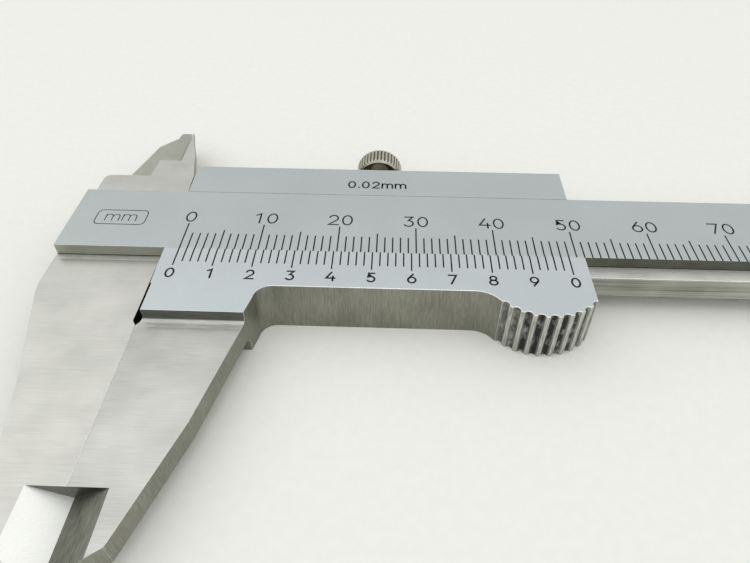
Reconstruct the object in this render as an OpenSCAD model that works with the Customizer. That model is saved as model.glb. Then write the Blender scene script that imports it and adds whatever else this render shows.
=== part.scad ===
// Vernier caliper for 0 to 150 mm, with outside jaws, crossed inside jaws and a depth rod.
// The vernier lies level with the main scale, so the slide is a channel milled round the beam.
// X runs along the beam from the zero line, Y across it and away from the outside jaws,
// and Z up from the back of the slide, which is what the caliper lies on.
// The origin is under the zero line, on the line where the two scales meet.

/* [Scales] */
// Length of the main scale
reading = 150; // [50:10:300]
// Travel past the last line before the slide meets its stop
overrun = 2; // [1:0.5:5]

/* [Beam] */
// Width of the raised rib that carries the main scale
rib_w = 12; // [10:0.5:14]
// Height of the rib over its two shoulders
rib_h = 1.6; // [1.2:0.1:2]
// Width of each shoulder beside the rib
shoulder_w = 2; // [1.5:0.1:3]
// Thickness of the beam under the rib, which is also that of the jaws
web_t = 3; // [2.6:0.1:3.4]
// Distance from the zero line back to the head's end
head_l = 16.2; // [14:0.2:20]
// Length of beam past the slide at full travel
tail_l = 13; // [11:0.5:20]

/* [Slide] */
// Length of the slide to the right of the zero line
slide_l = 51; // [50:0.5:60]
// Distance from the zero line back to the slide's left face
slide_back = 1.9; // [1.7:0.1:2.2]
// Thickness of the slide from back to face
slide_t = 7; // [6.8:0.1:8]
// Depth of the slide's face below the scale line, at the jaw
jaw_block_d = 10.9; // [10.5:0.1:11.2]
// Depth of the slide's face below the scale line, between jaw and thumb grip
waist_d = 6.45; // [6:0.05:7]
// Height of the slide's upper strip over the rib
upper_strip_w = 6.3; // [6:0.1:8]

/* [Thumb grip] */
// Radius of the grip's bulge
grip_r = 7.45; // [7:0.05:8]
// Distance from the slide's right face back to the bulge's centre
grip_back = 5.7; // [5.5:0.1:6]
// How far the bulge stands below the waist
grip_out = 3.95; // [3:0.05:4.5]
// Number of thumb grooves
groove_count = 9; // [5:2:9]
// Radius of a groove
groove_r = 0.52; // [0.45:0.01:0.6]

/* [Outside jaws] */
// Reach of the outside jaws below the scale line
jaw_reach = 40.4; // [38:0.2:44]
// Distance from the zero line back to the line where the outside jaws meet
contact_back = 2.35; // [2.2:0.05:2.4]
// Distance from the scale line to the start of the thinned tips
thin_from = 31.8; // [30:0.2:34]
// Half width of the hollow that thins the tips
thin_w = 3.95; // [3:0.05:4.5]
// Depth of that hollow where the jaws meet
thin_d = 2.2; // [1.5:0.1:2.4]

/* [Inside jaws] */
// Reach of the inside jaws above the scale line
inside_reach = 31.5; // [30.5:0.5:33]
// How much further the moving inside jaw reaches than the fixed one
reach_more = 1.1; // [0:0.1:1.2]
// Distance from the zero line back to the inside measuring edges
inside_back = 7.1; // [6.8:0.1:7.4]
// Width of the bevel that makes each measuring edge
bevel_w = 1.3; // [1:0.1:1.6]

/* [Lock screw] */
// Distance from the zero line to the screw's axis
lock_x = 24.7; // [20:0.1:30]
// Radius of the knurled head
head_r = 3.4; // [3:0.01:4]
// Length of the knurled head
head_len = 3.35; // [2.5:0.05:4]
// Length of neck that shows between slide and head
neck_l = 2.15; // [1.5:0.05:3]
// Radius of the threaded shank
shank_r = 1.5; // [1.25:0.25:1.5]

/* [Depth rod] */
// Width of the depth rod
rod_w = 3.4; // [3:0.1:4]
// Thickness of the depth rod
rod_t = 1.45; // [1.2:0.05:1.5]
// Distance from the zero line to the rod's fixed end
rod_from = 22; // [16:1:30]

/* [Fits] */
// Clearance between the slide and the beam
fit = 0.04; // [0.02:0.01:0.1]
// Clearance round a threaded shank
thread_fit = 0.02; // [0.01:0.01:0.05]
// Gap left between the closed measuring faces
closed_gap = 0.01; // [0.005:0.005:0.02]

/* [Hidden] */
$fn = 64;
cut = 1;                                // how far a cutter runs past the face that it cuts

steel = [0.74, 0.76, 0.77];
satin_chrome = [0.70, 0.75, 0.78];
dark_steel = [0.45, 0.46, 0.44];
brass = [0.80, 0.65, 0.35];

// Levels
face_z = slide_t;                       // face of the rib and of the slide
front_z = face_z - rib_h;               // shoulders and fronts of the jaws
back_z = front_z - web_t;               // backs of the beam and of the jaws
mid_z = back_z + web_t / 2;             // where the crossed inside jaws slide past each other
moving_reach = inside_reach + reach_more;
groove_d = rod_t + 0.15;                // depth of the rod's groove in the beam

// Places along the beam
left_x = -head_l;
slide_x0 = -slide_back;
slide_x1 = slide_l;
contact_x = -contact_back;
stop_l = 8;
stop_x = slide_x1 + reading + overrun + 0.1;
beam_x1 = slide_x1 + reading + overrun + tail_l;

// Places across the beam
beam_y0 = -shoulder_w;
beam_y1 = rib_w + shoulder_w;
slide_y1 = rib_w + upper_strip_w;
blade_y0 = 22.2;                        // where both inside blades start
gib_t = 0.85;
gib_y = beam_y1 + fit;
pocket_y1 = gib_y + gib_t + 0.02;
rod_y = rib_w / 2;

// Thumb grip
grip_x = slide_x1 - grip_back;
grip_y = grip_r - waist_d - grip_out;
groove_step = 11.2;                     // angle from groove to groove round the bulge
groove_turn = 2.1;                      // angle of the middle groove from straight down
groove_sink = 0.38;                     // depth of a groove
grip_cove_r = 3.5;
grip_cove_dy = waist_d + grip_cove_r + grip_y;
grip_cove_dx = sqrt(pow(grip_r + grip_cove_r, 2) - pow(grip_cove_dy, 2));

// Root of the moving outside jaw
corner_x = slide_x0 + 0.22;
lean_from = 3;
jaw_root_x = 10.2;
jaw_knee = [7.04, -24.6];
jaw_heel = [3.18, -36.5];
jaw_cove_r = 2.1;
jaw_cove_x = 12.88;
jaw_fillet_r = 0.7;
back_wall_y = -10.6;
back_fillet_r = 1;

module box(x0, x1, y0, y1, z0, z1) {
    translate([x0, y0, z0]) cube([x1 - x0, y1 - y0, z1 - z0]);
}

module slab(z0, z1) {
    translate([0, 0, z0]) linear_extrude(z1 - z0) children();
}

// A quarter round that fills the corner below and right of [y, z], running along X
module corner_fill(x0, x1, y, z, r, up) {
    flip = up ? 0 : 1;
    translate([x0, y, z]) mirror([0, 0, flip]) difference() {
        translate([0, -r, 0]) cube([x1 - x0, r, r]);
        translate([-cut, -r, r]) rotate([0, 90, 0]) cylinder(r = r, h = x1 - x0 + 2 * cut);
    }
}

// The long hollow that thins both tips; its deepest line is where the jaws meet
module tip_hollow() {
    translate([contact_x, -thin_from, front_z]) rotate([90, 0, 0])
        linear_extrude(jaw_reach) polygon([
            [-thin_w * 1.5, thin_d * 0.5],
            [0, -thin_d],
            [thin_w * 1.5, thin_d * 0.5]
        ]);
}

// ---- Beam ----

// The fixed outside jaw, with its relief notch beside the slide's corner
module fixed_jaw_plan() {
    difference() {
        polygon([
            [left_x, beam_y1],
            [left_x - 0.2, -5.5],
            [left_x + 0.1, -7.15],
            [-12.35, -20.15],
            [-10.7, -27.7],
            [-7.9, -36.5],
            [contact_x - 0.8, -jaw_reach],
            [contact_x, -jaw_reach],
            [contact_x, beam_y1]
        ]);
        polygon([
            [contact_x + cut, -9.4],
            [contact_x - 0.15, -9.4],
            [contact_x - 0.46, -11.15],
            [contact_x, -11.88],
            [contact_x + cut, -11.88]
        ]);
        translate([contact_x - 0.15, -9.5]) square([cut, beam_y1 + 10]);
    }
}

// The fixed inside jaw: a shoulder on the left, then a step, then the blade
module fixed_inside_plan() {
    corner_r = 1;
    shoulder_y = 18;
    translate([left_x + corner_r, shoulder_y - corner_r]) circle(corner_r);
    polygon([
        [left_x, rib_w],
        [left_x, shoulder_y - corner_r],
        [left_x + corner_r, shoulder_y],
        [-9.5, shoulder_y],
        [-9.2, blade_y0],
        [-inside_back, blade_y0],
        [-inside_back, inside_reach],
        [-inside_back + 0.7, inside_reach],
        [-5.6, 28.5],
        [-4.4, 24.5],
        [-3.0, 18],
        [-2.7, rib_w]
    ]);
}

// The bevel that brings a blade to its measuring edge, cut on the side away from mid_z
module blade_bevel() {
    translate([0, moving_reach, 0]) rotate([90, 0, 0]) linear_extrude(moving_reach) polygon([
        [-0.5, 0],
        [0, 0],
        [bevel_w, web_t / 2],
        [bevel_w, web_t],
        [-0.5, web_t]
    ]);
}

module beam() {
    moving_w = 13.9;                    // reach of the moving inside jaw behind the head
    color(steel) difference() {
        union() {
            box(left_x, beam_x1, 0, rib_w, back_z, face_z);
            box(contact_x - cut, beam_x1, beam_y0, beam_y1, back_z, front_z);
            slab(back_z, front_z) fixed_jaw_plan();
            slab(back_z, front_z) fixed_inside_plan();
        }
        // clearance for the moving inside jaw behind the head
        box(-moving_w, 0, beam_y1 + 0.1, moving_reach, back_z - cut, mid_z + fit);
        translate([-inside_back, blade_y0, mid_z + fit]) blade_bevel();
        tip_hollow();
        // groove for the depth rod
        box(rod_from - 4, beam_x1 + cut, rod_y - rod_w / 2 - 0.1, rod_y + rod_w / 2 + 0.1,
            back_z - cut, back_z + groove_d);
        for (side = [-1, 1])
            translate([stop_mid_x, rod_y + side * stop_screw_dy, back_z - cut])
                cylinder(r = stop_screw_r + thread_fit, h = cut + stop_screw_l);
    }
}

// ---- End stop ----

stop_mid_x = stop_x + stop_l / 2;
stop_t = 1.1;
stop_screw_r = 0.8;
stop_screw_l = 2.4;
stop_screw_dy = 4;
csk_r = 1.5;                            // radius of a countersunk head

module end_stop() {
    color(dark_steel) difference() {
        box(stop_x, stop_x + stop_l, rod_y - rib_w / 2, rod_y + rib_w / 2, back_z - stop_t, back_z);
        box(stop_x - cut, stop_x + stop_l + cut, rod_y - rod_w / 2 - 0.2, rod_y + rod_w / 2 + 0.2,
            back_z - 0.15, back_z + cut);
        for (side = [-1, 1])
            translate([stop_mid_x, rod_y + side * stop_screw_dy, back_z - stop_t]) {
                translate([0, 0, -cut]) cylinder(r = stop_screw_r + thread_fit, h = stop_t + 2 * cut);
                cylinder(r1 = csk_r + thread_fit, r2 = stop_screw_r + thread_fit, h = csk_r - stop_screw_r);
            }
    }
}

module end_stop_screws() {
    slot_w = 0.4;
    slot_d = 0.35;
    color(dark_steel) for (side = [-1, 1])
        translate([stop_mid_x, rod_y + side * stop_screw_dy, back_z - stop_t]) difference() {
            union() {
                cylinder(r = stop_screw_r, h = stop_t + stop_screw_l - 0.2);
                cylinder(r1 = csk_r, r2 = stop_screw_r, h = csk_r - stop_screw_r);
            }
            translate([-slot_w / 2, -csk_r - cut, -cut]) cube([slot_w, 2 * (csk_r + cut), cut + slot_d]);
        }
}

// ---- Slide ----

// Outline of the slide's body, seen from the front
module slide_plan() {
    difference() {
        union() {
            translate([slide_x0, -waist_d]) square([slide_x1 - slide_x0, waist_d + slide_y1]);
            polygon([
                [corner_x, 0],
                [corner_x, -jaw_block_d],
                [jaw_root_x, -jaw_block_d],
                [jaw_root_x + 0.6, -jaw_block_d + 2.5],
                [jaw_cove_x, -waist_d]
            ]);
            intersection() {
                translate([grip_x, grip_y]) circle(grip_r, $fn = 128);
                translate([slide_x0, -waist_d - grip_out]) square([slide_x1 - slide_x0, 20]);
            }
            polygon([
                [grip_x - grip_cove_dx, -waist_d],
                [grip_x - grip_r * grip_cove_dx / (grip_r + grip_cove_r),
                 grip_y - grip_r * grip_cove_dy / (grip_r + grip_cove_r)],
                [grip_x, -waist_d]
            ]);
        }
        // the left face leans back a little towards the jaw
        polygon([[slide_x0, -lean_from], [corner_x, -jaw_block_d], [slide_x0 - cut, -jaw_block_d]]);
        translate([jaw_cove_x, -waist_d - jaw_cove_r]) circle(jaw_cove_r);
        translate([grip_x - grip_cove_dx, -waist_d - grip_cove_r]) circle(grip_cove_r);
        for (k = [0 : groove_count - 1]) {
            a = groove_turn + (k - (groove_count - 1) / 2) * groove_step;
            d = grip_r - groove_sink + groove_r;
            translate([grip_x + d * sin(a), grip_y - d * cos(a)]) circle(groove_r, $fn = 32);
        }
    }
}

// Outline of the moving outside jaw; its corner is chamfered beside the fixed jaw's notch
module moving_jaw_plan() {
    edge_x = contact_x + closed_gap;
    polygon([
        [corner_x, -jaw_block_d + 1.5],
        [corner_x, -11],
        [edge_x, -11.88],
        [edge_x, -jaw_reach],
        [edge_x + 0.8, -jaw_reach],
        [1.7, -38.1],
        [jaw_heel.x - 0.25, -37.2],
        jaw_heel,
        jaw_knee,
        [jaw_root_x, -jaw_block_d],
        [jaw_root_x, -jaw_block_d + 1.5]
    ]);
}

// Outline of the moving inside jaw, which crosses behind the head
module moving_inside_plan() {
    polygon([
        [slide_x0 + cut, beam_y1 + 0.3],
        [-13.5, beam_y1 + 0.3],
        [-13.8, 19],
        [-11.4, 28.4],
        [-9.0, 31],
        [-8.8, moving_reach - 0.3],
        [-8.5, moving_reach],
        [-inside_back, moving_reach],
        [-inside_back, blade_y0 + 0.3],
        [-5.4, 21.5],
        [-5.0, slide_y1],
        [slide_x0 + cut, slide_y1]
    ]);
}

module slide_body() {
    slab(0, face_z) slide_plan();
    slab(back_z, front_z) moving_jaw_plan();
    intersection() {
        corner_fill(slide_x0, jaw_root_x, -jaw_block_d, front_z, jaw_fillet_r, true);
        slab(front_z, face_z) moving_jaw_plan();
    }
    difference() {
        slab(back_z, mid_z - fit) moving_inside_plan();
        translate([-inside_back, blade_y0, mid_z - fit]) rotate([0, 180, 0]) blade_bevel();
    }
}

gib_screw_x = [8, 42];
gib_screw_r = 1.25;
rivet_x = [27, 45];
rivet_r = 1;

module slide() {
    color(satin_chrome) difference() {
        slide_body();
        // channel for the beam, the gap for the rib and the room for the gib
        box(slide_x0 - cut, slide_x1 + cut, beam_y0 - fit, pocket_y1, back_z - fit, front_z + fit);
        box(slide_x0 - cut, slide_x1 + cut, -fit, rib_w + fit, front_z, face_z + cut);
        // the block is cut back behind the jaw
        difference() {
            box(slide_x0 - cut, jaw_root_x + 2, -jaw_block_d - cut, back_wall_y, -cut, back_z);
            corner_fill(slide_x0 - cut, jaw_root_x + 2, back_wall_y, back_z, back_fillet_r, false);
        }
        tip_hollow();
        for (x = gib_screw_x)
            across_wall(x, pocket_y1 - cut, slide_y1 + cut, gib_screw_r + thread_fit);
        across_wall(lock_x, pocket_y1 - cut, slide_y1 + cut, shank_r + thread_fit);
        for (x = rivet_x)
            translate([x, rod_y, -cut]) cylinder(r = rivet_r, h = back_z + cut);
    }
}

// A round bar or hole through the slide's upper wall, level with the middle of the beam
module across_wall(x, y0, y1, r) {
    translate([x, y0, mid_z]) rotate([-90, 0, 0]) cylinder(r = r, h = y1 - y0);
}

// ---- Gib, its screws and the lock screw ----

gib_x0 = 1;
gib_x1 = 48;

module gib() {
    color(dark_steel) difference() {
        box(gib_x0, gib_x1, gib_y, gib_y + gib_t, back_z + 0.05, front_z - 0.05);
        for (x = gib_screw_x)
            across_wall(x, gib_y + gib_t - 0.2, gib_y + gib_t + cut, 0.8);
    }
}

module gib_screws() {
    tip_y = gib_y + gib_t - 0.15;
    body_y = pocket_y1 + 0.1;
    top_y = slide_y1 - 0.7;
    slot_w = 0.5;
    slot_d = 0.7;
    color(dark_steel) for (x = gib_screw_x) difference() {
        union() {
            across_wall(x, body_y, top_y, gib_screw_r);
            across_wall(x, tip_y, top_y, 0.7);
        }
        box(x - 2, x + 2, top_y - slot_d, top_y + cut, mid_z - slot_w / 2, mid_z + slot_w / 2);
    }
}

pad_y = gib_y + gib_t + 0.005;
pad_t = 0.6;
head_y = slide_y1 + neck_l;

module lock_pad() {
    color(brass) across_wall(lock_x, pad_y, pad_y + pad_t, shank_r - 0.1);
}

// A turned screw: shank, undercut neck and a head with both rims chamfered
module lock_screw() {
    rim = 0.35;
    color(steel) translate([lock_x, 0, mid_z]) rotate([-90, 0, 0]) rotate_extrude() polygon([
        [0, pad_y + pad_t],
        [shank_r - 0.2, pad_y + pad_t],
        [shank_r, pad_y + pad_t + 0.2],
        [shank_r, head_y - 0.5],
        [shank_r - 0.2, head_y - 0.3],
        [shank_r - 0.2, head_y],
        [head_r - rim, head_y],
        [head_r, head_y + rim],
        [head_r, head_y + head_len - rim],
        [head_r - rim, head_y + head_len],
        [0, head_y + head_len]
    ]);
}

// ---- Depth rod ----

rod_z0 = back_z - fit;

module depth_rod() {
    nose_l = 2;
    nose_w = 1.2;
    color(steel) difference() {
        box(rod_from, beam_x1, rod_y - rod_w / 2, rod_y + rod_w / 2, rod_z0, rod_z0 + rod_t);
        // relief that lets the nose reach into a corner
        box(beam_x1 - nose_l, beam_x1 + cut, rod_y - rod_w / 2 + nose_w, rod_y + rod_w, rod_z0 - cut, face_z);
        for (x = rivet_x)
            translate([x, rod_y, rod_z0 - cut]) cylinder(r = rivet_r, h = rod_t + 2 * cut);
    }
}

module rod_rivets() {
    color(dark_steel) for (x = rivet_x)
        translate([x, rod_y, 0.02]) cylinder(r = rivet_r, h = rod_z0 + rod_t - 0.04);
}

beam();
end_stop();
end_stop_screws();
slide();
gib();
gib_screws();
lock_screw();
lock_pad();
depth_rod();
rod_rivets();
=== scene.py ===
# %% [markdown]
# # A vernier caliper
#
# A vernier caliper is a beam with a millimetre scale, and a slide that carries a second scale.
# Both are hardened stainless steel. Their scale faces are blasted and satin chromed, so that the
# lines read without glare, and almost everything else is left as the grinder or the cutter made it.
# So most finishes tell how each surface was made, and this script is built around them. Some
# are painted light and shade instead: lit and shaded copies, darkened corners and grooves.
#
# The shapes that matter are in the imported CAD model. Blender adds what CAD leaves out: broken
# edges, engraved lines and numbers, the knurl and thread of the lock screw, and every finish.

# %% Load the frame
import math
import bmesh
import bpy
from mathutils import Euler, Matrix, Vector


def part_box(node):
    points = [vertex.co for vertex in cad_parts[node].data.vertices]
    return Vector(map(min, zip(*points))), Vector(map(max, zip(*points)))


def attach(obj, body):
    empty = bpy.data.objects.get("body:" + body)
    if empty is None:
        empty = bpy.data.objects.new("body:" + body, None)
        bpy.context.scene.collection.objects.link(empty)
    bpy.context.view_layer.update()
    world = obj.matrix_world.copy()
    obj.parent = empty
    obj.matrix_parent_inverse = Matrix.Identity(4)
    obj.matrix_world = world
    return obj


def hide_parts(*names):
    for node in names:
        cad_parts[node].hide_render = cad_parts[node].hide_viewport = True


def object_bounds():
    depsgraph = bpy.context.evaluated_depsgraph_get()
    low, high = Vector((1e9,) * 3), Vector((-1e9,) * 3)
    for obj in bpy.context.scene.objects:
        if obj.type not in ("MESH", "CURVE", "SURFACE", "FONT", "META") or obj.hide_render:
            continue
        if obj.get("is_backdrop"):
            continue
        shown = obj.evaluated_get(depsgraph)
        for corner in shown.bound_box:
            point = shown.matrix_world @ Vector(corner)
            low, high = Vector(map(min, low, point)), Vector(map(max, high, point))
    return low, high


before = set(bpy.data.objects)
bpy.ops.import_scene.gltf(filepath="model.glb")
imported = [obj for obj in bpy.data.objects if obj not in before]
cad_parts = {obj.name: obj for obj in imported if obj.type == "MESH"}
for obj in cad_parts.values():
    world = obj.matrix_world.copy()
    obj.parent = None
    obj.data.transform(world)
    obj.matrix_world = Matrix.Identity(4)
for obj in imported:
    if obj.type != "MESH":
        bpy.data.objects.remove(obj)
cad_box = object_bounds()
MM = 0.001

# %% [markdown]
# ## Small helpers
#
# Colours are written as sRGB hex values, as a colour picker shows them, and turned into the
# linear values that shaders want. One function adds any node, in a shader or in a geometry tree,
# with its settings and with its inputs, which are either plain values or links. Two more start a
# material and put an object in the scene.

# %% Helpers for colours and nodes
def linear(hex_colour):
    channels = [int(hex_colour[i:i + 2], 16) / 255 for i in (0, 2, 4)]
    curve = [c / 12.92 if c <= 0.04045 else ((c + 0.055) / 1.055) ** 2.4 for c in channels]
    return (*curve, 1.0)


def add(tree, kind, inputs=None, **settings):
    node = tree.nodes.new(kind)
    for name, value in settings.items():
        setattr(node, name, value)
    for key, value in (inputs or {}).items():
        if isinstance(value, bpy.types.NodeSocket):
            tree.links.new(value, node.inputs[key])
        else:
            node.inputs[key].default_value = value
    return node


def empty_material(name):
    """A new material with an empty node tree, which is returned beside it."""
    material = bpy.data.materials.new(name)
    material.use_nodes = True
    material.node_tree.nodes.clear()
    return material, material.node_tree


def new_piece(name, data):
    """A new object in the scene, at the origin, for a mesh, a lamp or a camera."""
    made = bpy.data.objects.new(name, data)
    bpy.context.scene.collection.objects.link(made)
    return made


def ramp_stops(node, stops):
    """Sets a colour ramp's stops, which are pairs of a place and a colour."""
    elements = node.color_ramp.elements
    while len(elements) < len(stops):
        elements.new(0.5)
    for element, (place, colour) in zip(elements, stops):
        element.position = place
        element.color = colour


print("white in linear values:", linear("ffffff"))

# %% [markdown]
# ## Where things are
#
# Every place comes from the CAD nodes' boxes or is a size in the CAD frame. The scale lines start
# at X 0, the two scales meet at Y 0, and the scale face is the slide's highest level. The scale
# stands on a low rib, and the fronts of the jaws lie one step below it.

# %% Measure the frame
beam_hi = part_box("beam")[1]
slide_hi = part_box("slide")[1]
screw_lo, screw_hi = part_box("lock_screw")
FACE_Z = slide_hi.z
RIB_H = 1.6 * MM
RIB_W = 12 * MM
FRONT_Z = FACE_Z - RIB_H
print("scale face at", round(FACE_Z / MM, 3), "mm; jaw fronts at", round(FRONT_Z / MM, 3), "mm")

# %% [markdown]
# ## The metals
#
# All of these are metals, and nearly all are steel, so they share one recipe: a metallic shader
# whose colour, roughness and height are varied by noise that is stretched along the way the tool
# went. A grinding wheel leaves long thin lines, an end mill leaves lines down the wall, and
# blasting leaves an even grain. Real grinding lines are about 0.02 mm apart. They are drawn 0.06
# to 0.3 mm apart, because finer ones would not show in a picture of the whole tool.

# %% One recipe for worked steel
DARK_STOP = 0.3  # noise below this has the dark tone
LIGHT_STOP = 0.7  # noise above this has the light tone
MARK_DEPTH = 0.2  # how deep a mark is, as a share of its width


def worked_metal(name, dark, light, roughness, grain_mm, lines=0.0, tone_mm=6.0, tone_share=0.3,
                 rough_swing=0.08):
    """grain_mm is the size of one mark along X, Y and Z, and lines is how deep the marks look.
    tone_mm is the size of the paler and darker clouds, and tone_share how much they count."""
    material, tree = empty_material(name)
    place = add(tree, "ShaderNodeTexCoord")
    marks_at = add(tree, "ShaderNodeMapping", {"Vector": place.outputs["Object"],
                                               "Scale": [1 / (g * MM) for g in grain_mm]})
    marks = add(tree, "ShaderNodeTexNoise", {"Vector": marks_at.outputs["Vector"], "Scale": 1.0,
                                             "Detail": 3.0, "Roughness": 0.6})
    tone = add(tree, "ShaderNodeTexNoise", {"Vector": place.outputs["Object"],
                                            "Scale": 1 / (tone_mm * MM), "Detail": 2.0})
    mixed = add(tree, "ShaderNodeMix", {"Factor": tone_share, "A": marks.outputs["Fac"],
                                        "B": tone.outputs["Fac"]})
    colour = add(tree, "ShaderNodeValToRGB", {"Fac": mixed.outputs["Result"]})
    ramp_stops(colour, [(DARK_STOP, linear(dark)), (LIGHT_STOP, linear(light))])
    rough = add(tree, "ShaderNodeMapRange", {"Value": marks.outputs["Fac"],
                                             "To Min": roughness - rough_swing,
                                             "To Max": roughness + rough_swing})
    bump = add(tree, "ShaderNodeBump", {"Height": marks.outputs["Fac"], "Strength": lines,
                                        "Distance": min(grain_mm) * MM * MARK_DEPTH})
    shader = add(tree, "ShaderNodeBsdfPrincipled", {"Base Color": colour.outputs["Color"],
                                                    "Metallic": 1.0,
                                                    "Roughness": rough.outputs["Result"],
                                                    "Normal": bump.outputs["Normal"]})
    add(tree, "ShaderNodeOutputMaterial", {"Surface": shader.outputs["BSDF"]})
    return material


# %% Chromed and ground faces
# Satin chrome over a blasted face: cool, even and matte, with a grain too fine to feel.
satin_chrome = worked_metal("satin_chromed_steel", "b0b7b7", "bdc4c3", 0.42, (0.12, 0.12, 0.12),
                            lines=0.08, tone_mm=9.0)
# Surface-ground stainless steel: warmer and brighter, with lines along the beam.
ground_steel = worked_metal("ground_stainless_steel", "b3b4ae", "cfcfc9", 0.34, (2.5, 0.08, 0.08),
                            lines=0.16, tone_mm=5.0, tone_share=0.5)
# The vernier's face is rubbed by the thumb, so its satin chrome is a little brighter.
handled_chrome = worked_metal("handled_satin_chrome", "bbc2c4", "c8cfd0", 0.4, (0.06, 0.06, 0.06),
                              lines=0.05)
# The moving jaw has slid past more work: scuffed along the beam, so darker in patches.
scuffed_jaw = worked_metal("scuffed_ground_jaw", "9d9e99", "c9cac5", 0.34, (3.5, 0.1, 0.1),
                           lines=0.2, tone_mm=8.0, tone_share=0.6)
# The shoulders beside the rib, past the slide, are rough ground, so they scatter light and look
# paler than the jaws. Their colour is also painted paler: painted light against the dark wall's
# reflection.
rough_shoulder_painted_light = worked_metal("rough_ground_shoulder_painted_light", "c2c3bd", "f2f2ee", 0.62, (4.0, 0.12, 0.12),
                              lines=0.35)
print("materials in the file:", len(bpy.data.materials))

# %% Walls, corners and tips
# End-milled walls: duller, slightly olive, with the cutter's lines running down them.
milled_steel = worked_metal("milled_stainless_steel", "77786d", "a8a89c", 0.46, (0.1, 0.1, 1.6),
                            lines=0.35, rough_swing=0.12)
# Dark steel for the walls that face the jaws beside a ledge; on the end walls of the tip hollows it
# is painted shade.
dark_wall_and_painted_shade = worked_metal("dark_wall_steel_and_painted_shade", "4b4d47", "717368", 0.42, (3.0, 0.12, 0.12),
                           lines=0.25)
# The short step above the moving jaw, dark in the same way but wiped now and then.
step_wall = worked_metal("wiped_step_steel", "5b5d58", "84867f", 0.42, (3.0, 0.12, 0.12),
                         lines=0.25)
# A thin line in the ledge's corner, and the wall in the gap beside the slide's rim, are painted
# nearly black: painted shade.
corner_painted_shade = worked_metal("corner_steel_painted_shade", "2b2c28", "494a44", 0.5, (2.0, 0.1, 0.1),
                           lines=0.3)
# Under the step and beside the left ledge's wall the steel is scratched by hand, so it is rough,
# and it is painted bright: painted light where the wall's shade and dark reflection would fall.
scratched_foot_painted_light = worked_metal("hand_scratched_steel_painted_light", "a9aaa4", "dedfda", 0.6, (1.6, 0.06, 0.06),
                              lines=0.4)
# The two slopes that thin the jaws to knife tips: the one facing right is painted bright and the one
# facing left dark, as painted light and painted shade.
tip_painted_light = worked_metal("jaw_tip_painted_light", "e2e3de", "f1f2ee", 0.55, (2.5, 0.1, 0.1),
                          lines=0.06)
tip_painted_shade = worked_metal("jaw_tip_painted_shade", "565750", "84857a", 0.44, (0.3, 1.6, 0.3),
                          lines=0.3, rough_swing=0.12)
# The moving inside blade and the wall of the left ledge, left dull by a fine stone.
stoned_blade = worked_metal("dull_stoned_steel", "9b9d92", "b8b9ae", 0.48, (0.12, 1.2, 0.12),
                            lines=0.15)
# The long lower edge of the beam is ground lengthwise, so its marks run along X.
ground_wall = worked_metal("lengthwise_ground_steel", "6e7068", "c4c5bc", 0.38, (30.0, 0.3, 0.22),
                           lines=0.5)
# An edge broken with a fine stone: a narrow polished line that catches the light.
stoned_edge = worked_metal("stoned_steel_edge", "d4d6d4", "f2f3f0", 0.24, (0.6, 0.2, 0.2),
                           lines=0.1)
print("materials with walls and tips:", len(bpy.data.materials))

# %% Bars, screws and plate
# Cold-drawn bar for the depth rod: even, with die lines along it.
drawn_steel = worked_metal("drawn_stainless_rod", "8f918c", "b9bbb6", 0.34, (6.0, 0.1, 0.1),
                           lines=0.2)
# Spring steel strip, rolled and a little dark.
rolled_strip = worked_metal("rolled_spring_steel", "6f7069", "94958e", 0.4, (4.0, 0.15, 0.15),
                            lines=0.15)
# Small screws and rivets, turned and blackened a little by oil.
turned_steel = worked_metal("turned_screw_steel", "75756e", "a0a098", 0.35, (0.1, 0.1, 0.1),
                            lines=0.15)
# Nickel plate on the head's outer end: yellowish beside the chrome, and glossier.
nickel_plate = worked_metal("nickel_plated_knurl", "a8a595", "d6d3c6", 0.24, (0.1, 0.1, 0.1),
                            lines=0.08)
# The face behind the head and the neck are painted nearly black: painted shade, as they sit in the
# head's shade.
painted_shade_steel = worked_metal("turned_steel_painted_black_shade", "151513", "2f2f2a", 0.3, (0.15, 0.6, 0.15),
                           lines=0.15)
# Turned brass for the pad that the lock screw presses on the gib.
turned_brass = worked_metal("turned_brass", "b08a45", "d6b26a", 0.3, (0.1, 0.4, 0.1), lines=0.1)
print("materials with bars and plate:", len(bpy.data.materials))

# %% [markdown]
# The thumb grip's grooves are painted dark at their bottoms, in patches: painted shade.
# The mask is the distance from the grip's centre line, so it follows the grooves, broken
# up by noise along their length. It is painted lighter towards the sides of the grip.
# It is a dark matte layer mixed over the bare cut steel.

# %% The grip's finish and painted groove shade
GRIP_R = 7.45 * MM
GRIP_X = slide_hi.x - 5.7 * MM
GRIP_LOW_Y = -10.4 * MM  # where the grip's round reaches furthest from the beam
GRIP_Y = GRIP_R + GRIP_LOW_Y
PATCH_MM = (1.1, 1.1, 1.6)  # the size of one patch of painted shade
GRIP_GRAIN_MM = (0.2, 0.2, 1.5)  # the size of one mark of the cutter
print("grip centre:", round(GRIP_X / MM, 2), round(GRIP_Y / MM, 2), "mm")


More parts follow.
